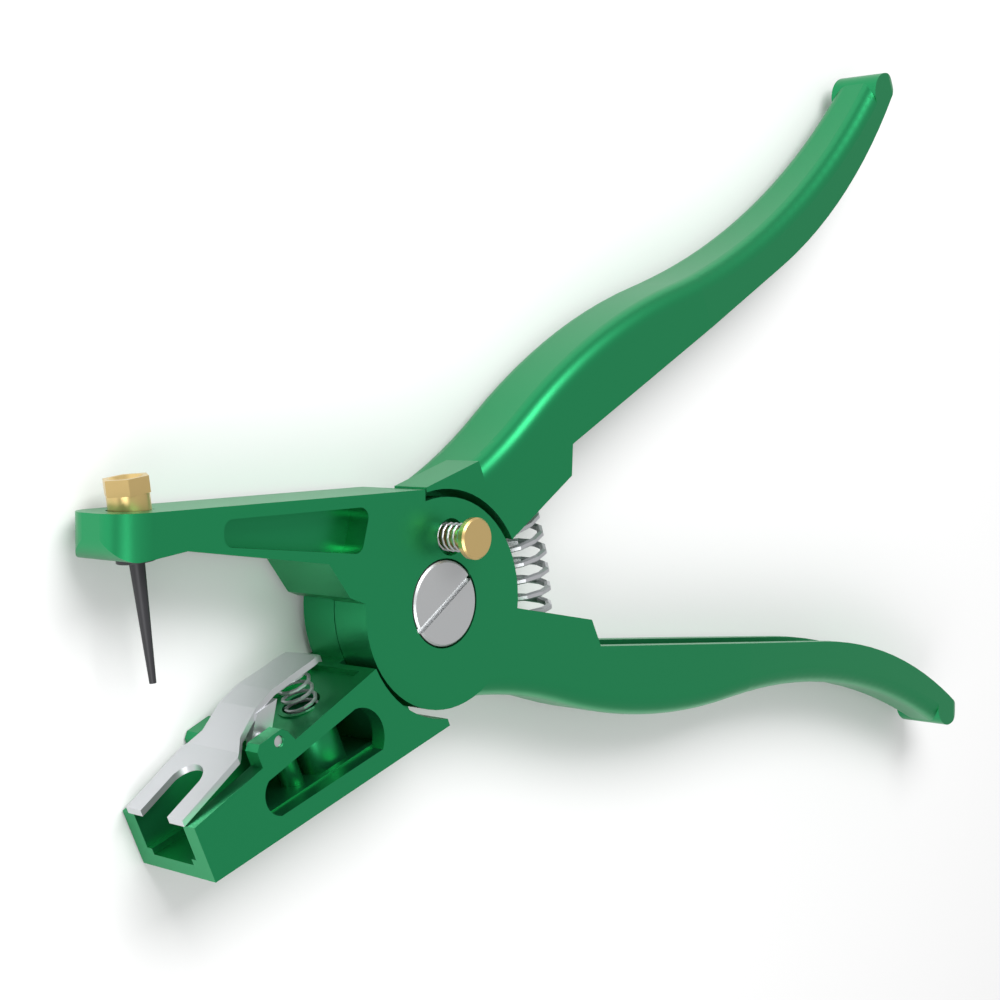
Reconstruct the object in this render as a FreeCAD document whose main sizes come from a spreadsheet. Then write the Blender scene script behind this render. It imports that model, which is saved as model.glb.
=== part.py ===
# Ear tag applicator: hand pliers that push a needle with one half of an ear tag on it
# through the other half, which a sprung fork holds in the lower jaw.
#
# The tool lies on its side. The origin is on the pivot axis, in the plane that it lies on.
# +Z runs up the pivot, +X towards the handles, -X towards the jaws. Millimetres.
#
# Both castings are drawn in the same working frame: pivot at the origin, handle along +X
# with its palm edge at -Y, lap joint at Z = 0 and pivot disc above it. The lower jaw
# casting is then turned over and swung open, as it meets its partner on the real tool.

import FreeCAD, Part
import math
import os
import Sketcher

Vector = FreeCAD.Vector
Rotation = FreeCAD.Rotation
Placement = FreeCAD.Placement

SIZES = {
    # whole tool
    "open_angle": (24, "angle between the two castings with the jaws open"),
    "close_angle": (25, "swing of the lower jaw from open to closed"),
    "lap_gap": (0.2, "gap between the two lapped discs"),
    "stop_gap": (0.3, "gap left where the open castings meet"),
    # pivot discs and handles, the same on both castings
    "hub_thick": (17, "thickness of the hub and handles"),
    "hub_radius": (19.8, "radius of the pivot discs"),
    "lap_relief": (1.5, "radial gap round the other casting's disc"),
    "palm_start": (7, "where the palm edge leaves the disc"),
    "palm_depth": (18.7, "depth of the palm edge at its start"),
    "palm_hollow": (95, "radius of the hollow behind the disc"),
    "palm_swell": (135, "radius of the swell under the palm"),
    "palm_tail": (165, "radius of the palm edge towards the tip"),
    "swell_from": (35, "where the hollow turns into the swell"),
    "swell_to": (89.5, "where the swell turns into the tail"),
    "tail_to": (180, "where the tail of the palm edge meets the tip"),
    "ledge_depth": (2.4, "depth of the ledge by the spring at the disc"),
    "ledge_to": (41.6, "end of the ledge by the spring"),
    "ledge_drop": (4.0, "fall of the ledge over its length"),
    "step_run": (2.8, "length of the step from ledge to inner edge"),
    "step_fall": (5.6, "height of the step from ledge to inner edge"),
    "inner_to": (125, "where the straight inner edge starts to bend"),
    "inner_fall": (6.3, "fall of the straight inner edge"),
    "inner_bend": (130, "radius of the inner edge towards the tip"),
    "inner_end": (188, "where the inner edge meets the tip"),
    "tip_radius": (5, "radius of the handle's tip"),
    "handle_round": (3.6, "rounding along the palm edge"),
    "taper_from": (95, "where the handle starts to narrow"),
    "tip_width": (12, "width of the handle at its tip"),
    "handle_wall": (3.2, "side walls of the hollow handle"),
    "handle_web": (3.8, "palm web of the hollow handle"),
    "hollow_from": (48, "start of the hollow in the handle"),
    "hollow_to": (132, "end of the full depth of the hollow"),
    "hollow_runout": (24, "length of the slope that ends the hollow"),
    # pivot screw and nut
    "screw_radius": (5, "radius of the pivot screw's shank"),
    "screw_fit": (0.05, "radial clearance of the shank"),
    "head_radius": (8, "radius of the screw's head"),
    "head_thick": (3, "thickness of the screw's head"),
    "head_proud": (0.3, "how far the head stands out of its recess"),
    "recess_fit": (0.4, "radial gap round the head and the nut"),
    "head_bevel": (0.35, "bevel round the heads of the screw and the button"),
    "slot_width": (1.1, "width of the screwdriver slot"),
    "slot_depth": (1.2, "depth of the screwdriver slot"),
    "slot_angle": (36, "direction of the slot"),
    "nut_across": (13, "pivot nut across its flats"),
    "nut_thick": (4.2, "thickness of the pivot nut"),
    "nut_proud": (1.5, "how far the pivot nut stands out of its recess"),
    # upper arm and nose
    "arm_reach": (72, "from the pivot to the front of the nose"),
    "arm_top": (19.4, "height of the arm's top edge at the nose"),
    "arm_rise": (1.9, "rise of the arm's top edge to the hub"),
    "arm_end": (5, "where the arm's top edge ends above the disc"),
    "nose_depth": (8.4, "depth of the nose"),
    "nose_foot": (13.2, "length of the flat under the nose"),
    "nose_round": (6, "rounding of the nose seen from above"),
    "nose_curl": (3.5, "rounding of the nose seen from the side"),
    "spot_deep": (0.5, "depth of the spot face in the nose, at its middle"),
    "neck_front": (28.4, "where the arm's underside meets the neck"),
    "neck_height": (9.0, "height of the arm's underside there"),
    "neck_back": (23.5, "where the neck's slope ends"),
    "neck_low": (2.7, "height where the neck's slope ends"),
    "pocket_from": (51.5, "front end of the pockets in the arm's sides"),
    "pocket_to": (18.5, "rear end of the pockets in the arm's sides"),
    "pocket_rim": (2.2, "rim above the pocket"),
    "pocket_low": (4.6, "height of the pocket at its front"),
    "pocket_high": (8.4, "height of the pocket at its rear"),
    "pocket_deep": (5, "depth of the pockets"),
    "pocket_round": (1.9, "corner radius of the pockets"),
    # needle
    "needle_from_front": (8.9, "from the front of the nose to the needle"),
    "needle_tilt": (8.5, "lean of the needle"),
    "needle_length": (20.8, "length of the needle below its collar"),
    "needle_radius": (1.35, "radius of the needle at its collar"),
    "needle_point": (0.6, "radius of the needle's point"),
    "collar_radius": (3.4, "radius of the needle's collar"),
    "collar_thick": (1.2, "thickness of the needle's collar"),
    "stud_radius": (2, "radius of the stud above the collar"),
    "stud_fit": (0.05, "radial clearance of the stud"),
    "nut_body_radius": (3.6, "radius of the brass nut's round body"),
    "nut_body_high": (3.2, "height of the brass nut's round body"),
    "nut_hex_across": (7.2, "brass nut across its flats"),
    "nut_hex_high": (2.8, "height of the brass nut's hexagon"),
    "nut_dish": (2.9, "radius of the dish in the brass nut's top"),
    # lock button
    "lock_x": (1.6, "position of the lock button along X"),
    "lock_y": (12.3, "position of the lock button along Y"),
    "lock_pin_radius": (1.8, "radius of the lock pin"),
    "lock_fit": (0.05, "radial clearance of the lock pin"),
    "lock_head_radius": (3.9, "radius of the button's head"),
    "lock_head_thick": (1.7, "thickness of the button's head"),
    "lock_stand": (7, "height of the button's face above the cheek"),
    "lock_travel": (3, "free travel of the button"),
    "lock_well_radius": (3.5, "radius of the wells for spring and ring"),
    "lock_well_deep": (2, "depth of the well under the button"),
    "lock_web": (1.9, "metal between the two wells"),
    "lock_ring_radius": (3.1, "radius of the ring that holds the pin"),
    "lock_ring_thick": (0.7, "thickness of the ring that holds the pin"),
    "lock_spring_radius": (2.55, "mean radius of the button's spring"),
    "lock_wire": (0.5, "wire of the button's spring"),
    # lower jaw
    "jaw_width": (20, "width of the lower jaw"),
    "jaw_reach": (67.3, "from the pivot to the front of the lower jaw"),
    "jaw_lip": (5.6, "depth of the jaw's rim at the front"),
    "jaw_rim_rear": (1.7, "depth of the jaw's rim by the disc"),
    "jaw_rear": (21, "where the rim ends by the disc"),
    "jaw_sole": (16.3, "depth of the sole at the front"),
    "jaw_sole_rear": (20.6, "depth of the sole at the rear tip"),
    "jaw_tip": (9.3, "where the sole ends below the disc"),
    "jaw_wall": (3.2, "side walls of the lower jaw"),
    "jaw_floor": (2.8, "floor of the lower jaw"),
    "deck_thick": (2.6, "deck over the rear of the lower jaw"),
    "deck_sink": (1.2, "how far the deck lies below the rim"),
    "deck_front": (43.5, "front edge of the deck"),
    "cavity_rear": (22.5, "rear end of the cavity in the jaw"),
    "window_front": (54.6, "front end of the window in the jaw"),
    "window_rim": (3.4, "wall left above the window"),
    "window_sole": (3.6, "wall left below the window"),
    "window_round": (4, "corner radius of the window"),
    "ledge_wide": (1.3, "width of the two rails on the floor"),
    "rail_high": (1.2, "height of the two rails on the floor"),
    "ear_front": (50.8, "front of the ears"),
    "ear_rear": (43.6, "rear of the ears"),
    "ear_high": (0.2, "depth of the ears' tops"),
    "shoulder_rear": (18.9, "rear of that shoulder"),
    "shoulder_high": (21.7, "height of that shoulder's front"),
    "shoulder_fall": (20.3, "height of that shoulder's rear"),
    "post_x": (39.5, "position of the post under the deck"),
    "post_radius": (2, "radius of the post under the deck"),
    # clip
    "clip_pin_x": (45.9, "position of the clip's pin along the jaw"),
    "clip_pin_y": (1.9, "depth of the clip's pin"),
    "clip_pin_radius": (1.0, "radius of the clip's pin"),
    "pin_fit": (0.05, "radial clearance of the clip's pin"),
    "clip_thick": (1.2, "sheet of the clip"),
    "clip_reach": (67.6, "from the pivot to the tips of the fork"),
    "clip_gap": (0.1, "gap left under the resting fork's tips"),
    "fork_width": (15.6, "width of the fork"),
    "fork_slot": (7.4, "width of the slot in the fork"),
    "fork_slot_end": (55.8, "closed end of the slot in the fork"),
    "waist_width": (10.4, "width of the clip behind the fork"),
    "tail_width": (9, "width of the clip's tail"),
    "tail_end": (25.6, "end of the clip's tail"),
    "clip_high": (3.7, "height of the clip's back above the pivot line"),
    "flange_radius": (2.6, "radius of the clip's ears round the pin"),
    "clip_swing": (10, "swing of the clip"),
    # springs
    "return_seat_x": (29, "position of the return spring's seats"),
    "return_seat_deep": (3, "depth of the seats below the ledge"),
    "return_radius": (6.3, "mean radius of the return spring"),
    "return_wire": (1.4, "wire of the return spring"),
    "return_turns": (7, "turns of the return spring"),
    "seat_fit": (0.5, "gap round the return spring in its seat"),
    "clip_spring_x": (32, "position of the clip's spring"),
    "clip_spring_radius": (2.95, "mean radius of the clip's spring"),
    "clip_wire": (0.7, "wire of the clip's spring"),
    "clip_spring_turns": (7, "turns of the clip's spring"),
    "cup_radius": (4.5, "radius of the boss round the clip's spring"),
    "cup_bore": (3.6, "bore of that boss"),
    "cup_deep": (7, "depth of that bore"),
}

SEAT_CLEARANCE = 0.02


class Size:
    """A size with the spreadsheet formula that gives it, so that it can drive an object."""

    def __init__(self, value, formula):
        self.value = float(value)
        self.formula = formula

    def join(self, other, sign, value):
        return Size(value, "(%s %s %s)" % (self.formula, sign, other.formula))

    def __add__(self, other):
        other = as_size(other)
        return self.join(other, "+", self.value + other.value)

    def __sub__(self, other):
        other = as_size(other)
        return self.join(other, "-", self.value - other.value)

    def __mul__(self, other):
        other = as_size(other)
        return self.join(other, "*", self.value * other.value)

    def __truediv__(self, other):
        other = as_size(other)
        return self.join(other, "/", self.value / other.value)

    def __radd__(self, other):
        return as_size(other) + self

    def __rsub__(self, other):
        return as_size(other) - self

    def __rmul__(self, other):
        return as_size(other) * self

    def __neg__(self):
        return as_size(0) - self


def as_size(number):
    """A plain number as a Size."""
    if isinstance(number, Size):
        return number
    return Size(number, repr(number) if number >= 0 else "(%r)" % number)


def root(size):
    """Square root of a Size."""
    return Size(math.sqrt(size.value), "sqrt(%s)" % size.formula)


def sine(size):
    """Sine of a Size in degrees."""
    return Size(math.sin(math.radians(size.value)), "sin(%s)" % size.formula)


def cosine(size):
    """Cosine of a Size in degrees."""
    return Size(math.cos(math.radians(size.value)), "cos(%s)" % size.formula)


def hypotenuse(a, b):
    """Length of the diagonal over two Sizes."""
    return root(a * a + b * b)


doc = FreeCAD.newDocument("EarTagApplicator")
sheet = doc.addObject("Spreadsheet::Sheet", "Sizes")
for row, (alias, (number, meaning)) in enumerate(SIZES.items(), start=1):
    sheet.set("A%d" % row, alias)
    sheet.set("B%d" % row, str(number))
    sheet.set("C%d" % row, meaning)
    sheet.setAlias("B%d" % row, alias)
doc.recompute()


def size(alias):
    """The named cell of the sheet as a Size."""
    return Size(sheet.get(alias), "Sizes." + alias)


def bind(thing, path, value):
    """Tie one property of an object to the formula of a Size."""
    thing.setExpression(path, as_size(value).formula)


# ---------------------------------------------------------------- sketches and features


class Track:
    """A point that runs along +X through tangent arcs, with the sine of its heading."""

    def __init__(self, x, y, heading=0):
        self.x = as_size(x)
        self.y = as_size(y)
        self.heading = as_size(heading)

    def slope(self):
        """Cosine of the heading."""
        return root(1 - self.heading * self.heading)

    def bend(self, x, radius, turn):
        """Follow an arc to x: turn is 1 to the left and -1 to the right."""
        heading = self.heading + turn * (x - self.x) / radius
        end = Track(x, self.y, heading)
        end.y = self.y + turn * radius * (self.slope() - end.slope())
        return end

    def beside(self, gap):
        """The point at a distance to the left of the track."""
        return (self.x - gap * self.heading, self.y + gap * self.slope())

    def here(self):
        return (self.x, self.y)


def arc_to(point, radius, turn):
    """An outline's corner that is reached by an arc."""
    return (point[0], point[1], as_size(radius), turn)


def plane_of(body, role):
    return next(item for item in body.Origin.OriginFeatures if item.Role == role)


def new_sketch(body, name, role, height):
    sketch = body.newObject("Sketcher::SketchObject", name)
    sketch.AttachmentSupport = (plane_of(body, role), [""])
    sketch.MapMode = "FlatFace"
    bind(sketch, "AttachmentOffset.Base.z", height)
    return sketch


def hold(sketch, kind, geometry, vertex, value):
    """Dimension a vertex from the sketch's origin along one axis."""
    value = as_size(value)
    constraint = Sketcher.Constraint(kind, -1, 1, geometry, vertex, value.value)
    index = sketch.addConstraint(constraint)
    sketch.setExpression("Constraints[%d]" % index, value.formula)


def hold_radius(sketch, geometry, radius):
    radius = as_size(radius)
    index = sketch.addConstraint(Sketcher.Constraint("Radius", geometry, radius.value))
    sketch.setExpression("Constraints[%d]" % index, radius.formula)


def arc_between(start, end, radius, turn):
    """The arc of one radius from start to end that turns left (1) or right (-1)."""
    chord = end - start
    middle = (start + end) * 0.5
    reach = math.sqrt(max(radius * radius - chord.Length ** 2 / 4, 0))
    side = Vector(-chord.y, chord.x, 0).normalize() * turn
    centre = middle + side * reach
    first, last = (start, end) if turn > 0 else (end, start)
    angles = [math.atan2(p.y - centre.y, p.x - centre.x) for p in (first, last)]
    if angles[1] < angles[0]:
        angles[1] += 2 * math.pi
    circle = Part.Circle(centre, Vector(0, 0, 1), radius)
    return Part.ArcOfCircle(circle, angles[0], angles[1])


def draw_outline(sketch, corners):
    """Draw a closed outline whose corners are (x, y) or arc_to(...)."""
    points = [Vector(as_size(c[0]).value, as_size(c[1]).value, 0) for c in corners]
    ends = []
    for index, corner in enumerate(corners):
        start = points[index - 1]
        end = points[index]
        if len(corner) == 2:
            geometry = sketch.addGeometry(Part.LineSegment(start, end))
            ends.append((geometry, 1, 2))
            continue
        radius, turn = corner[2], corner[3]
        geometry = sketch.addGeometry(arc_between(start, end, radius.value, turn))
        ends.append((geometry, 1, 2) if turn > 0 else (geometry, 2, 1))
        hold_radius(sketch, geometry, radius)
    for index, corner in enumerate(corners):
        geometry, _, last = ends[index]
        following, first, _ = ends[(index + 1) % len(ends)]
        sketch.addConstraint(Sketcher.Constraint("Coincident", geometry, last, following, first))
        hold(sketch, "DistanceX", geometry, last, corner[0])
        hold(sketch, "DistanceY", geometry, last, corner[1])


def draw_circle(sketch, x, y, radius):
    circle = Part.Circle(Vector(as_size(x).value, as_size(y).value, 0), Vector(0, 0, 1), as_size(radius).value)
    geometry = sketch.addGeometry(circle)
    hold_radius(sketch, geometry, radius)
    hold(sketch, "DistanceX", geometry, 3, x)
    hold(sketch, "DistanceY", geometry, 3, y)


def draw(sketch, shape):
    if shape[0] == "circle":
        draw_circle(sketch, *shape[1:])
    else:
        draw_outline(sketch, shape)


def add(body, name, shape, low, high, role="XY_Plane"):
    """Pad a shape between two heights above one of the body's planes."""
    sketch = new_sketch(body, name + "_sketch", role, low)
    draw(sketch, shape)
    pad = body.newObject("PartDesign::Pad", name)
    pad.Profile = sketch
    bind(pad, "Length", high - low)
    return pad


def cut(body, name, shape, low, high, role="XY_Plane"):
    """Pocket a shape between two heights above one of the body's planes."""
    sketch = new_sketch(body, name + "_sketch", role, high)
    draw(sketch, shape)
    pocket = body.newObject("PartDesign::Pocket", name)
    pocket.Profile = sketch
    bind(pocket, "Length", high - low)
    return pocket


def turn_about_y(body, kind, name, corners, x=0, y=0, tilt=0):
    """Revolve an outline about the Y axis of a sketch that is moved and tilted in XY."""
    sketch = new_sketch(body, name + "_sketch", "XY_Plane", as_size(0))
    sketch.AttachmentOffset = Placement(Vector(), Rotation(Vector(0, 0, 1), 1))
    bind(sketch, "AttachmentOffset.Base.x", x)
    bind(sketch, "AttachmentOffset.Base.y", y)
    bind(sketch, "AttachmentOffset.Rotation.Angle", tilt)
    draw_outline(sketch, corners)
    feature = body.newObject("PartDesign::" + kind, name)
    feature.Profile = sketch
    feature.ReferenceAxis = (sketch, ["V_Axis"])
    feature.Angle = 360
    return feature


def dress_edges(body, name, kind, path, value, wanted):
    """Fillet or chamfer the edges of the last feature that a test picks by their middle."""
    doc.recompute()
    base = body.Tip
    names = []
    for index, edge in enumerate(base.Shape.Edges, start=1):
        middle = edge.valueAt((edge.FirstParameter + edge.LastParameter) / 2)
        if wanted(edge, middle):
            names.append("Edge%d" % index)
    feature = body.newObject("PartDesign::" + kind, name)
    feature.Base = (base, names)
    bind(feature, path, value)
    doc.recompute()
    if not names or "Invalid" in feature.State or feature.Shape.isNull():
        raise RuntimeError("%s changes nothing: %d edges" % (name, len(names)))
    return feature


def round_edges(body, name, radius, wanted):
    """Round the edges that a test picks."""
    return dress_edges(body, name, "Fillet", "Radius", radius, wanted)


def bevel_rims(body, name, width, radius, heights):
    """Bevel the round rims that lie at a radius and at the given heights."""

    def on_rim(edge, middle):
        level = any(abs(middle.z - height.value) < 0.01 for height in heights)
        return level and abs(math.hypot(middle.x, middle.y) - radius.value) < 0.01

    return dress_edges(body, name, "Chamfer", "Size", width, on_rim)


def upright_at(corners, reach=0.05):
    """A test for edges along Z that stand at given corners."""
    places = [(as_size(x).value, as_size(y).value) for x, y in corners]

    def wanted(edge, middle):
        first = edge.valueAt(edge.FirstParameter)
        if math.hypot(first.x - middle.x, first.y - middle.y) > reach:
            return False
        return any(math.hypot(middle.x - x, middle.y - y) < reach for x, y in places)

    return wanted


def box(x_low, x_high, y_low, y_high):
    """A rectangle as an outline."""
    return [(x_low, y_low), (x_high, y_low), (x_high, y_high), (x_low, y_high)]


def hexagon(across, x=0, y=0):
    """A hexagon as an outline, from its size across the flats."""
    corner = across / math.sqrt(3)
    return [
        (corner * math.cos(math.radians(60 * step)) + x, corner * math.sin(math.radians(60 * step)) + y)
        for step in range(6)
    ]


def new_body(label):
    body = doc.addObject("PartDesign::Body", label)
    body.Label = label
    return body


MIDDLE = size("jaw_width") / 2
HALF_HUB = size("hub_thick") / 2
HALF_GAP = size("lap_gap") / 2


def place_upper(thing):
    """Set a piece drawn in the working frame where the upper jaw casting carries it."""
    bind(thing, "Placement.Base.z", MIDDLE)


def place_lower(thing):
    """Turn a piece drawn in the working frame over, as the lower jaw casting lies."""
    half = size("open_angle") / 2
    turned = Rotation(Vector(math.cos(math.radians(half.value)), math.sin(math.radians(half.value)), 0), 180)
    thing.Placement = Placement(Vector(), turned)
    bind(thing, "Placement.Rotation.Axis.x", cosine(half))
    bind(thing, "Placement.Rotation.Axis.y", sine(half))
    bind(thing, "Placement.Base.z", MIDDLE)


# ---------------------------------------------------------------- the two castings


def palm_track():
    """The palm edge from the disc to the tip: its corners and the radii between them."""
    start = Track(size("palm_start"), -size("palm_depth"))
    hollow = start.bend(size("swell_from"), size("palm_hollow"), -1)
    swell = hollow.bend(size("swell_to"), size("palm_swell"), 1)
    tail = swell.bend(size("tail_to"), size("palm_tail"), -1)
    return start, hollow, swell, tail


def inner_track():
    """The inner edge of the handle: the straight stretch's end and the bend's end."""
    step_x = size("ledge_to") + size("step_run")
    step_y = -(size("ledge_depth") + size("ledge_drop") + size("step_fall"))
    run = size("inner_to") - step_x
    heading = -size("inner_fall") / hypotenuse(run, size("inner_fall"))
    straight = Track(size("inner_to"), step_y - size("inner_fall"), heading)
    bent = straight.bend(size("inner_end"), size("inner_bend"), -1)
    return (step_x, step_y), straight, bent


def ledge_height(x):
    """Height of the ledge by the spring at x."""
    along = (x - size("hub_radius")) / (size("ledge_to") - size("hub_radius"))
    return -size("ledge_depth") - size("ledge_drop") * along


def handle_outline():
    """The handle's side outline, counter-clockwise from inside the disc."""
    start, hollow, swell, tail = palm_track()
    step, straight, bent = inner_track()
    return [
        (size("hub_radius") * 0.6, -size("ledge_depth")),
        (0, -size("palm_depth")),
        start.here(),
        arc_to(hollow.here(), size("palm_hollow"), -1),
        arc_to(swell.here(), size("palm_swell"), 1),
        arc_to(tail.here(), size("palm_tail"), -1),
        arc_to(bent.here(), size("tip_radius"), 1),
        arc_to(straight.here(), size("inner_bend"), 1),
        step,
        (size("ledge_to"), ledge_height(size("ledge_to"))),
        (size("hub_radius"), -size("ledge_depth")),
    ]


def hollow_outline():
    """The hollow of the handle, open on the inner edge, with its floor along the palm."""
    _, before, swell, _ = palm_track()
    web = size("handle_web")
    front = before.bend(size("hollow_from"), size("palm_swell"), 1)
    deep = swell.bend(size("hollow_to"), size("palm_tail"), -1)
    _, straight, _ = inner_track()
    runout = straight.bend(size("hollow_to") + size("hollow_runout"), size("inner_bend"), -1)
    return [
        (size("hollow_from"), -size("ledge_depth")),
        front.beside(web),
        arc_to(swell.beside(web), size("palm_swell") - web, 1),
        arc_to(deep.beside(web), size("palm_tail") + web, -1),
        runout.here(),
        (runout.x, -size("ledge_depth")),
    ]


def taper_outline():
    """What is trimmed off round the handle, seen from above, down to a round tip."""
    half_tip = size("tip_width") / 2
    shoulder = size("inner_end") + size("tip_radius") * 0.75 - half_tip
    beyond = size("hub_thick")
    return [
        (size("taper_from"), HALF_HUB),
        (shoulder, half_tip),
        arc_to((shoulder, -half_tip), half_tip * 1.02, -1),
        (size("taper_from"), -HALF_HUB),
        (size("taper_from"), -beyond),
        (shoulder + beyond, -beyond),
        (shoulder + beyond, beyond),
        (size("taper_from"), beyond),
    ]


def on_palm(edge, middle):
    """True for the long edges between the palm face and the sides of the handle."""
    start, hollow, swell, tail = palm_track()
    x = middle.x
    if x < hollow.x.value - 1 or abs(middle.z) < 1:
        return False
    if x > tail.x.value:
        return False
    radius, turn, base = (size("palm_tail"), -1, swell)
    if x < swell.x.value:
        radius, turn, base = (size("palm_swell"), 1, hollow)
    level = base.bend(as_size(x), radius, turn).y.value
    return abs(middle.y - level) < 0.05


def casting(label):
    """Disc, handle and pivot hole, which the two castings share."""
    body = new_body(label)
    add(body, label + "_handle", handle_outline(), -HALF_HUB, HALF_HUB)
    reach = size("inner_end")
    cut(body, label + "_taper", taper_outline(), -reach, reach, "XZ_Plane")
    half_hollow = HALF_HUB - size("handle_wall")
    round_edges(body, label + "_palm_round", size("handle_round"), on_palm)
    cut(body, label + "_hollow", hollow_outline(), -half_hollow, half_hollow)
    return body


def seat_floor():
    """Depth of the return spring's seat below the pivot."""
    return -(ledge_height(size("return_seat_x")) - size("return_seat_deep"))


def hub_features(body, label, recess_radius, recess_deep):
    """The lap joint, the spring's seat and the pivot hole, cut once the jaw is on."""
    relief = size("hub_radius") + size("lap_relief")
    cut(body, label + "_lap", ("circle", 0, 0, relief), -size("jaw_width"), HALF_GAP)
    add(body, label + "_disc", ("circle", 0, 0, size("hub_radius")), HALF_GAP, HALF_HUB)
    seat_radius = size("return_radius") + size("return_wire") / 2 + size("seat_fit")
    seat = ("circle", size("return_seat_x"), 0, seat_radius)
    cut(body, label + "_spring_seat", seat, as_size(0), seat_floor(), "XZ_Plane")
    bore = size("screw_radius") + size("screw_fit")
    cut(body, label + "_bore", ("circle", 0, 0, bore), -HALF_HUB, HALF_HUB)
    cut(body, label + "_recess", ("circle", 0, 0, recess_radius), HALF_HUB - recess_deep, HALF_HUB)


def nose_foot():
    """Both ends of the flat under the nose, square to the needle."""
    front = (-size("arm_reach"), size("arm_top") - size("nose_depth"))
    along = size("nose_foot")
    back = (front[0] + along * cosine(size("needle_tilt")), front[1] + along * sine(size("needle_tilt")))
    return front, back


def arm_height(x):
    """Height of the arm's top edge at x."""
    along = (x + size("arm_reach")) / (size("arm_reach") - size("arm_end"))
    return size("arm_top") + size("arm_rise") * along


def arm_outline():
    """The arm's side outline, with the nose at -X and the neck down to the disc."""
    foot_front, foot_back = nose_foot()
    return [
        (-size("arm_reach"), size("arm_top")),
        foot_front,
        foot_back,
        (-size("neck_front"), size("neck_height")),
        (-size("neck_back"), size("neck_low")),
        (-size("hub_radius"), size("neck_low") * 0.5),
        (-size("hub_radius") * 0.5, size("neck_low") * 0.5),
        (-size("arm_end"), size("hub_radius") * 0.6),
        (-size("arm_end"), arm_height(-size("arm_end"))),
    ]


def pocket_corners():
    """The long tapered pocket in the side of the arm."""
    front = -size("pocket_from")
    rear = -size("pocket_to")
    rear_top = arm_height(rear) - size("pocket_rim")
    front_top = arm_height(front) - size("pocket_rim")
    return [
        (front, front_top),
        (front, front_top - size("pocket_low")),
        (rear - size("pocket_rim"), rear_top - size("pocket_high")),
        (rear, rear_top),
    ]


def needle_root():
    """Where the needle's axis meets the underside of the nose."""
    foot_front, _ = nose_foot()
    along = size("needle_from_front")
    tilt = size("needle_tilt")
    return (foot_front[0] + along * cosine(tilt), foot_front[1] + along * sine(tilt))


def nose_height():
    """Metal between the foot and the spot face on the nose, along the needle."""
    root_x, root_y = needle_root()
    slope = size("arm_rise") / (size("arm_reach") - size("arm_end"))
    tilt = size("needle_tilt")
    return (arm_height(root_x) - root_y) / (cosine(tilt) + slope * sine(tilt)) - size("spot_deep")


def nose_corner(side):
    """What the nose's rounding trims off one front corner, seen from above."""
    front = -size("arm_reach")
    round_off = size("nose_round")
    return [
        (front, side * (HALF_HUB - round_off)),
        arc_to((front + round_off, side * HALF_HUB), round_off, -side),
        (front + round_off, side * 2 * HALF_HUB),
        (front - round_off, side * 2 * HALF_HUB),
        (front - round_off, side * (HALF_HUB - round_off)),
    ]


def upper_jaw_frame():
    """Casting that carries the nose, the pivot screw and the lock button."""
    recess = size("head_thick") - size("head_proud")
    label = "upper_jaw_frame"
    body = casting(label)
    add(body, label + "_arm", arm_outline(), -HALF_HUB, HALF_HUB)
    reach = -size("arm_reach")
    foot_front, foot_back = nose_foot()
    round_edges(body, label + "_nose_curl", size("nose_curl"), upright_at([foot_front]))
    for side, name in ((1, "_nose_near"), (-1, "_nose_far")):
        cut(body, label + name, nose_corner(side), reach, -reach, "XZ_Plane")
    deep = size("pocket_deep")
    for name, low, high in (("_pocket_near", HALF_HUB - deep, HALF_HUB), ("_pocket_far", -HALF_HUB, deep - HALF_HUB)):
        cut(body, label + name, pocket_corners(), low, high)
    round_edges(body, label + "_pocket_round", size("pocket_round"), upright_at(pocket_corners()))
    hub_features(body, label, size("head_radius") + size("recess_fit"), recess)
    well_floor = HALF_HUB - size("lock_well_deep")
    lock = ("circle", size("lock_x"), size("lock_y"), size("lock_well_radius"))
    cut(body, label + "_lock_well", lock, well_floor, HALF_HUB)
    cut(body, label + "_ring_well", lock, as_size(0), well_floor - size("lock_web"))
    pin = size("lock_pin_radius") + size("lock_fit")
    cut(body, label + "_lock_hole", ("circle", size("lock_x"), size("lock_y"), pin), as_size(0), HALF_HUB)
    bore = size("stud_radius") + size("stud_fit")
    depth = size("nose_depth")
    spot = size("nut_body_radius") + size("recess_fit")
    seat = nose_height()
    stud_hole = [
        (as_size(0), -depth),
        (bore, -depth),
        (bore, seat),
        (spot, seat),
        (spot, 2 * depth),
        (as_size(0), 2 * depth),
    ]
    root_x, root_y = needle_root()
    turn_about_y(body, "Groove", label + "_stud_hole", stud_hole, root_x, root_y, size("needle_tilt"))
    place_upper(body)
    return body


def seen_from_lower(x, y):
    """A point given in the upper casting's frame, in the open lower casting's frame."""
    angle = size("open_angle")
    return (x * cosine(angle) + y * sine(angle), x * sine(angle) - y * cosine(angle))


def shoulder_outline():
    """The shoulder over the disc that meets the arm's end when the jaws are open."""
    front = size("stop_gap") - size("arm_end")
    rear = size("shoulder_rear")
    return [
        seen_from_lower(front, size("hub_radius")),
        seen_from_lower(front, size("shoulder_high")),
        (rear, -size("shoulder_fall")),
        (rear, -size("hub_radius") * 0.6),
    ]


def rim_depth(x):
    """Depth of the lower jaw's rim at x, in the working frame."""
    along = (x + size("jaw_reach")) / (size("jaw_reach") - size("jaw_rear"))
    return size("jaw_lip") + (size("jaw_rim_rear") - size("jaw_lip")) * along


def sole_depth(x):
    """Depth of the lower jaw's sole at x, in the working frame."""
    along = (x + size("jaw_reach")) / (size("jaw_reach") - size("jaw_tip"))
    return size("jaw_sole") + (size("jaw_sole_rear") - size("jaw_sole")) * along


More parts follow.
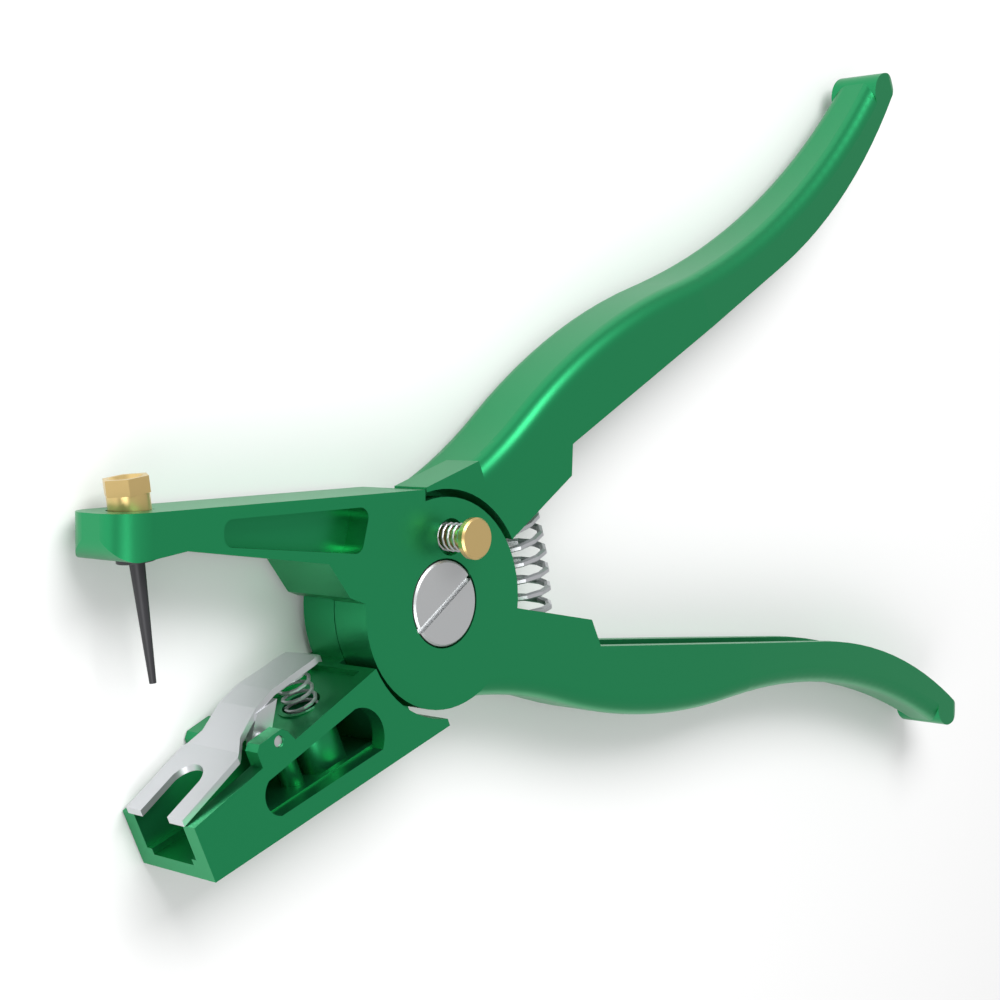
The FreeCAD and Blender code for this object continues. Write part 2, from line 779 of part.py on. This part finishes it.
def jaw_outline():
    """The lower jaw's side outline; its opening faces -Y in the working frame."""
    front = -size("jaw_reach")
    rear = -size("jaw_rear")
    tip = -size("jaw_tip")
    ear_front = -size("ear_front")
    ear_rear = -size("ear_rear")
    lean = size("ear_rear") - size("clip_pin_radius")
    return [
        (front, size("jaw_lip")),
        (ear_front, rim_depth(ear_front)),
        (ear_front, size("ear_high") + 1),
        (ear_front + 1, size("ear_high")),
        (ear_rear - 1, size("ear_high")),
        (ear_rear, size("ear_high") + 1),
        (-lean, rim_depth(-lean)),
        (rear, rim_depth(rear)),
        (rear + size("hub_radius") * 0.5, size("jaw_rim_rear")),
        (tip, size("hub_radius") * 0.6),
        (tip, sole_depth(tip)),
        (front, size("jaw_sole")),
    ]


def window_outline():
    """The window in the near wall of the lower jaw, with two round ends."""
    front = -size("window_front") + size("window_round")
    top = -size("cavity_rear") - size("window_round") * 1.5
    bottom = -size("cavity_rear") - size("window_round") * 0.8
    front_end = (front, rim_depth(front) + size("window_rim") * 0.8)
    rear_end = (bottom, sole_depth(bottom) - size("window_sole"))
    return [
        arc_to(front_end, size("window_round"), 1),
        (top, rim_depth(top) + size("window_rim")),
        arc_to(rear_end, size("window_round") * 1.5, 1),
        (front, sole_depth(front) - size("window_sole")),
    ]


def lower_jaw_frame():
    """Casting that carries the tag clip; its disc fills the other half of the hub."""
    label = "lower_jaw_frame"
    nut_radius = size("nut_across") / math.sqrt(3) + size("recess_fit")
    body = casting(label)
    half_jaw = size("jaw_width") / 2
    add(body, label + "_jaw", jaw_outline(), -half_jaw, half_jaw)
    add(body, label + "_shoulder", shoulder_outline(), -HALF_HUB, HALF_GAP)
    front = -size("jaw_reach")
    rear = -size("cavity_rear")
    deck = -size("deck_front")
    half_room = half_jaw - size("jaw_wall")
    beyond = front - size("jaw_wall")
    cut(body, label + "_window", window_outline(), -half_jaw, -half_room)
    floor = [
        (beyond, size("jaw_sole") - size("jaw_floor")),
        (rear, sole_depth(rear) - size("jaw_floor")),
        (rear, rim_depth(rear) + size("deck_sink") + size("deck_thick")),
        (deck, rim_depth(deck) + size("deck_sink") + size("deck_thick")),
        (deck, -size("jaw_lip")),
        (beyond, -size("jaw_lip")),
    ]
    rails = half_room - size("ledge_wide")
    cut(body, label + "_groove", floor, -rails, rails)
    raised = [
        (beyond, size("jaw_sole") - size("jaw_floor") - size("rail_high")),
        (rear, sole_depth(rear) - size("jaw_floor") - size("rail_high")),
    ] + floor[2:]
    cut(body, label + "_room", raised, -half_room, half_room)
    trough = [
        (deck - 1, rim_depth(deck) + size("deck_sink")),
        (deck - 1, -size("jaw_lip")),
        (rear, -size("jaw_lip")),
        (rear, rim_depth(rear) + size("deck_sink")),
    ]
    cut(body, label + "_trough", trough, -half_room, half_room)
    cup_x = -size("clip_spring_x")
    cup_top = rim_depth(cup_x) + size("deck_sink")
    cup = ("circle", cup_x, 0, size("cup_radius"))
    cup_foot = sole_depth(cup_x) - size("jaw_floor") * 0.5
    add(body, label + "_cup", cup, -cup_foot, -cup_top, "XZ_Plane")
    bore = ("circle", cup_x, 0, size("cup_bore"))
    cut(body, label + "_cup_bore", bore, -(cup_top + size("cup_deep")), -size("deck_sink"), "XZ_Plane")
    post = ("circle", -size("post_x"), 0, size("post_radius"))
    add(body, label + "_post", post, -cup_foot, -(cup_top + size("deck_sink")), "XZ_Plane")
    pin = size("clip_pin_radius") + size("pin_fit")
    cut(body, label + "_pin_hole", ("circle", -size("clip_pin_x"), size("clip_pin_y"), pin), -half_jaw, half_jaw)
    hub_features(body, label, nut_radius, size("nut_thick") - size("nut_proud"))
    swing = size("open_angle") - size("close_angle")
    lock_x = size("lock_x") * cosine(swing) + size("lock_y") * sine(swing)
    lock_y = size("lock_x") * sine(swing) - size("lock_y") * cosine(swing)
    hole = size("lock_pin_radius") + size("recess_fit")
    cut(body, label + "_lock_hole", ("circle", lock_x, lock_y, hole), as_size(0), HALF_HUB / 2)
    place_lower(body)
    return body


# ---------------------------------------------------------------- pivot, needle and lock


def pivot_screw():
    """Shouldered screw: slotted head in the near recess, thread in the pivot nut."""
    body = new_body("pivot_screw")
    low = -HALF_HUB - size("nut_proud")
    shoulder = low + size("nut_thick") + SEAT_CLEARANCE
    seat = HALF_HUB + size("head_proud") - size("head_thick")
    thread = size("screw_radius") * 0.8
    add(body, "screw_thread", ("circle", 0, 0, thread), low, shoulder)
    add(body, "screw_shank", ("circle", 0, 0, size("screw_radius")), shoulder, seat)
    top = seat + size("head_thick")
    add(body, "screw_head", ("circle", 0, 0, size("head_radius")), seat, top)
    half = size("slot_width") / 2
    reach = size("head_radius") * 1.2
    slot = cut(body, "screw_slot", box(-reach, reach, -half, half), top - size("slot_depth"), top)
    sketch = slot.Profile[0]
    sketch.AttachmentOffset = Placement(sketch.AttachmentOffset.Base, Rotation(Vector(0, 0, 1), 1))
    bind(sketch, "AttachmentOffset.Rotation.Angle", size("slot_angle"))
    bevel_rims(body, "screw_head_bevel", size("head_bevel"), size("head_radius"), [top])
    place_upper(body)
    return body


def pivot_nut():
    """Hexagon nut in the far recess; its face is what the tool lies on."""
    body = new_body("pivot_nut")
    low = -HALF_HUB - size("nut_proud")
    high = low + size("nut_thick")
    add(body, "pivot_nut_hexagon", hexagon(size("nut_across")), low, high)
    thread = size("screw_radius") * 0.8 + SEAT_CLEARANCE
    cut(body, "pivot_nut_thread", ("circle", 0, 0, thread), low, high)
    place_upper(body)
    return body


def stand_on_needle_axis(body):
    """Set a piece turned about its Y axis on the needle's axis."""
    root_x, root_y = needle_root()
    body.Placement = Placement(Vector(), Rotation(Vector(0, 0, 1), 1))
    bind(body, "Placement.Base.x", root_x)
    bind(body, "Placement.Base.y", root_y)
    bind(body, "Placement.Base.z", MIDDLE)
    bind(body, "Placement.Rotation.Angle", size("needle_tilt"))


def needle():
    """Tapered needle with its collar under the nose and its stud up through it."""
    body = new_body("needle")
    collar = -size("collar_thick")
    tip = collar - size("needle_length")
    stud_top = nose_height() + size("nut_body_high")
    profile = [
        (as_size(0), tip),
        (size("needle_point"), tip),
        (size("needle_radius"), collar),
        (size("collar_radius"), collar),
        (size("collar_radius"), as_size(0)),
        (size("stud_radius"), as_size(0)),
        (size("stud_radius"), stud_top),
        (as_size(0), stud_top),
    ]
    turn_about_y(body, "Revolution", "needle_turned", profile)
    stand_on_needle_axis(body)
    return body


def needle_nut():
    """Brass nut on the stud: round body, hexagon and a dished top."""
    body = new_body("needle_nut")
    low = nose_height()
    waist = low + size("nut_body_high")
    top = waist + size("nut_hex_high")
    profile = [
        (as_size(0), low),
        (size("nut_body_radius"), low),
        (size("nut_body_radius"), waist),
        (as_size(0), waist),
    ]
    turn_about_y(body, "Revolution", "needle_nut_body", profile)
    add(body, "needle_nut_hexagon", hexagon(size("nut_hex_across")), -top, -waist, "XZ_Plane")
    bore = size("stud_radius") + SEAT_CLEARANCE
    dish = size("nut_dish")
    hollow = [
        (as_size(0), low - 1),
        (bore, low - 1),
        (bore, top - (dish - bore)),
        (dish, top),
        (dish, top + 1),
        (as_size(0), top + 1),
    ]
    turn_about_y(body, "Groove", "needle_nut_bore", hollow)
    stand_on_needle_axis(body)
    return body


def lock_levels():
    """Heights of the button's face, the head's underside, the ring and the pin's end."""
    face = HALF_HUB + size("lock_stand")
    under = face - size("lock_head_thick")
    ring = HALF_HUB - size("lock_well_deep") - size("lock_web")
    end = HALF_GAP + size("lock_travel") + size("lap_gap")
    return face, under, ring, end


def place_lock(thing):
    """Set a round piece drawn about its own Z axis on the lock button's axis."""
    bind(thing, "Placement.Base.x", size("lock_x"))
    bind(thing, "Placement.Base.y", size("lock_y"))
    bind(thing, "Placement.Base.z", MIDDLE)


def lock_button():
    """Brass button whose pin locks the closed handles."""
    body = new_body("lock_button")
    face, under, ring, end = lock_levels()
    add(body, "lock_pin", ("circle", 0, 0, size("lock_pin_radius")), end, under)
    add(body, "lock_head", ("circle", 0, 0, size("lock_head_radius")), under, face)
    groove_low = ring - size("lock_ring_thick") - SEAT_CLEARANCE
    neck = size("lock_pin_radius") * 0.8
    profile = [
        (neck, groove_low),
        (neck * 2, groove_low),
        (neck * 2, ring),
        (neck, ring),
    ]
    sketch = new_sketch(body, "lock_groove_sketch", "XZ_Plane", as_size(0))
    draw_outline(sketch, profile)
    groove = body.newObject("PartDesign::Groove", "lock_groove")
    groove.Profile = sketch
    groove.ReferenceAxis = (sketch, ["V_Axis"])
    groove.Angle = 360
    bevel_rims(body, "lock_head_bevel", size("head_bevel"), size("lock_head_radius"), [under, face])
    place_lock(body)
    return body


def lock_ring():
    """Ring in the pin's groove, which stops the button under the cheek."""
    body = new_body("lock_ring")
    _, _, ring, _ = lock_levels()
    high = ring - SEAT_CLEARANCE / 2
    low = high - size("lock_ring_thick")
    add(body, "lock_ring_disc", ("circle", 0, 0, size("lock_ring_radius")), low, high)
    neck = size("lock_pin_radius") * 0.8 + SEAT_CLEARANCE
    cut(body, "lock_ring_bore", ("circle", 0, 0, neck), low, high)
    place_lock(body)
    return body


# ---------------------------------------------------------------- tag clip


def clip_outline():
    """Side outline of the bent sheet: fork, rise over the pin, back and tail."""
    sheet_thick = size("clip_thick")
    tip = -size("clip_reach")
    bend = -size("fork_slot_end") + 3.5
    crown = -size("clip_pin_x") + 1.3
    back = -size("clip_pin_x") + 5.9
    fall = -size("clip_spring_x") + size("clip_spring_radius") + size("clip_wire")
    tail = -size("tail_end")
    high = -size("clip_high")
    rest = size("jaw_lip") - sheet_thick * 0.5 - size("clip_gap")
    centres = [
        (tip, rest),
        (bend, rest - 3.6),
        (crown, high + 1.0),
        (back, high),
        (fall, high),
        (tail, high + 1.6),
    ]
    upper_side = [(x, y - sheet_thick * 0.5) for x, y in centres]
    lower_side = [(x, y + sheet_thick * 0.5) for x, y in reversed(centres)]
    return lower_side + upper_side


def fork_trim(side):
    """What is cut off one side of the sheet, seen from above, behind the fork."""
    half_fork = size("fork_width") / 2
    half_waist = size("waist_width") / 2
    half_tail = size("tail_width") / 2
    shoulder = -size("fork_slot_end") + 2.5
    waist = shoulder + 3.5
    tail = -size("tail_end")
    round_start = tail - half_tail
    beyond = half_fork + 2
    return [
        (shoulder, side * half_fork),
        (waist, side * half_waist),
        (round_start - 4, side * half_tail),
        (round_start, side * half_tail),
        arc_to((tail, side * 0.3), half_tail, -side),
        (tail + 2, side * 0.3),
        (tail + 2, side * beyond),
        (shoulder, side * beyond),
    ]


def tag_clip():
    """Zinc-plated sheet clip: its fork holds the tag, its tail lifts the fork."""
    body = new_body("tag_clip")
    half_fork = size("fork_width") / 2
    add(body, "clip_sheet", clip_outline(), -half_fork, half_fork)
    reach = size("clip_reach")
    for side, name in ((1, "clip_trim_near"), (-1, "clip_trim_far")):
        cut(body, name, fork_trim(side), -reach, reach, "XZ_Plane")
    half_slot = size("fork_slot") / 2
    slot_end = -size("fork_slot_end") - half_slot
    slot = [
        (-reach - 2, -half_slot),
        (slot_end, -half_slot),
        arc_to((slot_end, half_slot), half_slot * 1.01, 1),
        (-reach - 2, half_slot),
    ]
    cut(body, "clip_slot", slot, -reach, reach, "XZ_Plane")
    pin_x = -size("clip_pin_x")
    pin_y = size("clip_pin_y")
    radius = size("flange_radius")
    top = -size("clip_high") + 1.2
    flange = [
        (pin_x - radius, pin_y),
        arc_to((pin_x + radius, pin_y), radius * 1.01, -1),
        (pin_x + 5.9, top),
        (pin_x + 1.0, top),
    ]
    half_waist = size("waist_width") / 2
    for side, name in ((1, "clip_flange_near"), (-1, "clip_flange_far")):
        low = half_waist - size("clip_thick") if side > 0 else -half_waist
        add(body, name, flange, low, low + size("clip_thick"))
    bore = size("clip_pin_radius") + size("pin_fit")
    cut(body, "clip_pin_hole", ("circle", pin_x, pin_y, bore), -half_fork, half_fork)
    place_lower(body)
    return body


def clip_pin():
    """Pin through the lower jaw's ears and the clip's flanges."""
    body = new_body("clip_pin")
    half = size("jaw_width") / 2 - 0.4
    add(body, "clip_pin_rod", ("circle", -size("clip_pin_x"), size("clip_pin_y"), size("clip_pin_radius")), -half, half)
    place_lower(body)
    return body


# ---------------------------------------------------------------- springs


STEPS_PER_TURN = 12
WIRE_SIDES = 6


def coil(label, radius, wire, turns, length, arc=0):
    """Compression spring up its own Z axis, bent through an arc in its XZ plane."""
    radius, wire, turns, length, arc = [as_size(item).value for item in (radius, wire, turns, length, arc)]
    total = int(round(turns * STEPS_PER_TURN))
    bend = math.radians(arc)
    bow = length / bend if bend else 0

    def centre_line(side, across, along):
        """A point of the straight coil, carried onto the bowed axis."""
        if not bend:
            return Vector(side, across, along * length)
        angle = along * bend
        return Vector((bow + side) * math.cos(angle) - bow, across, (bow + side) * math.sin(angle))

    rings = []
    for step in range(total + 1):
        turn = 2 * math.pi * step / STEPS_PER_TURN
        corners = []
        for side in range(WIRE_SIDES):
            around = 2 * math.pi * (side + 0.5) / WIRE_SIDES
            out = radius + wire / 2 * math.cos(around)
            lift = wire / 2 * math.sin(around) / length
            corners.append(centre_line(out * math.cos(turn), out * math.sin(turn), step / total + lift))
        rings.append(Part.makePolygon(corners + corners[:1]))
    spring = doc.addObject("Part::Feature", label)
    spring.Label = label
    spring.Shape = Part.makeLoft(rings, True, True)
    return spring


def return_spring():
    """Bowed spring between the handles, from seat to seat."""
    floor = seat_floor()
    seat_x = size("return_seat_x")
    angle = size("open_angle").value
    reach = math.hypot(seat_x.value, floor.value)
    bow = floor.value / math.tan(math.radians(angle / 2)) + seat_x.value
    lift = size("return_wire").value / 2 + SEAT_CLEARANCE
    length = bow * math.radians(angle)
    trim = math.degrees(lift / bow)
    spring = coil(
        "return_spring",
        size("return_radius"),
        size("return_wire"),
        size("return_turns"),
        bow * math.radians(angle - 2 * trim),
        angle - 2 * trim,
    )
    centre = Vector(seat_x.value - bow, -floor.value, MIDDLE.value)
    spin = Rotation(Vector(0, 0, 1), trim)
    base = centre + spin.multVec(Vector(bow, 0, 0))
    spring.Placement = Placement(base, spin.multiply(Rotation(Vector(1, 0, 0), -90)))
    return spring


def lock_spring():
    """Spring round the lock pin, between the well and the head."""
    _, under, _, _ = lock_levels()
    floor = HALF_HUB - size("lock_well_deep")
    wire = size("lock_wire")
    length = under - floor - wire - 2 * SEAT_CLEARANCE
    spring = coil("lock_spring", size("lock_spring_radius"), wire, 5, length)
    low = MIDDLE + floor + wire / 2 + SEAT_CLEARANCE
    spring.Placement = Placement(Vector(size("lock_x").value, size("lock_y").value, low.value), Rotation())
    return spring


def clip_spring():
    """Spring in the boss under the clip's tail."""
    wire = size("clip_wire")
    cup_x = -size("clip_spring_x")
    foot = rim_depth(cup_x) + size("deck_sink") + size("cup_deep") - wire / 2 - SEAT_CLEARANCE
    head = -size("clip_high") + size("clip_thick") / 2 + wire / 2 + SEAT_CLEARANCE
    spring = coil("clip_spring", size("clip_spring_radius"), wire, size("clip_spring_turns"), foot - head)
    local = Placement(Vector(cup_x.value, foot.value, 0), Rotation(Vector(1, 0, 0), 90))
    half = math.radians(size("open_angle").value / 2)
    turned = Placement(Vector(0, 0, MIDDLE.value), Rotation(Vector(math.cos(half), math.sin(half), 0), 180))
    spring.Placement = turned.multiply(local)
    return spring


# ---------------------------------------------------------------- build and export

PIECES = (
    upper_jaw_frame,
    lower_jaw_frame,
    pivot_screw,
    pivot_nut,
    needle,
    needle_nut,
    lock_button,
    lock_ring,
    lock_spring,
    return_spring,
    tag_clip,
    clip_pin,
    clip_spring,
)

pieces = [build_piece() for build_piece in PIECES]
doc.recompute()
for item in doc.Objects:
    if "Invalid" in item.State or "Error" in item.State:
        raise RuntimeError("%s was not built" % item.Label)
for piece in pieces:
    if piece.Shape.isNull() or not piece.Shape.isValid() or len(piece.Shape.Solids) != 1:
        raise RuntimeError("%s is not one valid solid" % piece.Label)
os.makedirs("parts", exist_ok=True)
for piece in pieces:
    piece.Shape.exportStep("parts/%s.step" % piece.Label)
    print("%s: %.1f mm3" % (piece.Label, piece.Shape.Volume))
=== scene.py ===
import math

import bpy
from mathutils import Matrix, Vector

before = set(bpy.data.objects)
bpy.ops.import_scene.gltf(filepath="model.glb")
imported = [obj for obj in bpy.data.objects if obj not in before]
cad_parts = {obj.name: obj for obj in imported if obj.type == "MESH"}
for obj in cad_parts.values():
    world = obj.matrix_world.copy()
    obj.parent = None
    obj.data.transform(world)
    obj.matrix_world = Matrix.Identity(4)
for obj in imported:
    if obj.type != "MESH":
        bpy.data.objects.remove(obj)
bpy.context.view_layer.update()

# ---------------------------------------------------------------- camera
# The tool lies flat and is seen from above its jaws, looking along the handles.

view_azimuth = math.radians(175.917)
view_height = math.radians(43.624)
view_roll = math.radians(92.903)
view_distance = 0.38371
view_target = Vector((0.023665, 0.018043, 0.010))
lens_length_mm = 70.2
sensor_width_mm = 36
nearest_seen = 0.01

to_camera = Vector((
    math.cos(view_height) * math.cos(view_azimuth),
    math.cos(view_height) * math.sin(view_azimuth),
    math.sin(view_height),
))
camera_data = bpy.data.cameras.new("camera")
camera = bpy.data.objects.new("camera", camera_data)
bpy.context.scene.collection.objects.link(camera)
camera_data.lens = lens_length_mm
camera_data.sensor_width = sensor_width_mm
camera_data.clip_start = nearest_seen
level_view = to_camera.to_track_quat("Z", "Y").to_matrix()
rolled_view = level_view @ Matrix.Rotation(view_roll, 3, "Z")
camera.matrix_world = (
    Matrix.Translation(view_target + to_camera * view_distance) @ rolled_view.to_4x4()
)
bpy.context.scene.camera = camera

# ---------------------------------------------------------------- floor
# A matt white studio floor, a hair below the tool so that it keeps the tool's shadow.

floor_width = 6
floor_drop = 0.0003
floor_white = (0.82, 0.82, 0.82, 1)
floor_roughness = 0.9

bpy.ops.mesh.primitive_plane_add(size=floor_width, location=(0, 0, -floor_drop))
floor = bpy.context.object
floor.name = "floor"
floor_paint = bpy.data.materials.new("floor_white")
floor_paint.use_nodes = True
floor_shader = floor_paint.node_tree.nodes["Principled BSDF"]
floor_shader.inputs["Base Color"].default_value = floor_white
floor_shader.inputs["Roughness"].default_value = floor_roughness
floor.data.materials.append(floor_paint)

# ---------------------------------------------------------------- light
# An even white surround, and two large soft lamps turned towards the middle of the tool.

surround_white = (1, 1, 1, 1)
surround_strength = 0.55
lamp_aim = (0.03, 0.02, 0)

world = bpy.data.worlds.new("studio")
bpy.context.scene.world = world
world.use_nodes = True
backdrop = world.node_tree.nodes["Background"]
backdrop.inputs["Color"].default_value = surround_white
backdrop.inputs["Strength"].default_value = surround_strength


def softbox(name, place, width, height, power):
    """A rectangular lamp at a place, turned towards the tool."""
    data = bpy.data.lights.new(name, "AREA")
    data.shape = "RECTANGLE"
    data.size = width
    data.size_y = height
    data.energy = power
    lamp = bpy.data.objects.new(name, data)
    bpy.context.scene.collection.objects.link(lamp)
    lamp.location = place
    lamp.rotation_euler = (Vector(place) - Vector(lamp_aim)).to_track_quat("Z", "Y").to_euler()


softbox("key", place=(-0.15, 0.65, 0.75), width=0.7, height=0.5, power=9)
softbox("fill", place=(-0.7, -0.5, 0.6), width=0.8, height=0.6, power=5)

bpy.context.scene.view_settings.view_transform = "Standard"
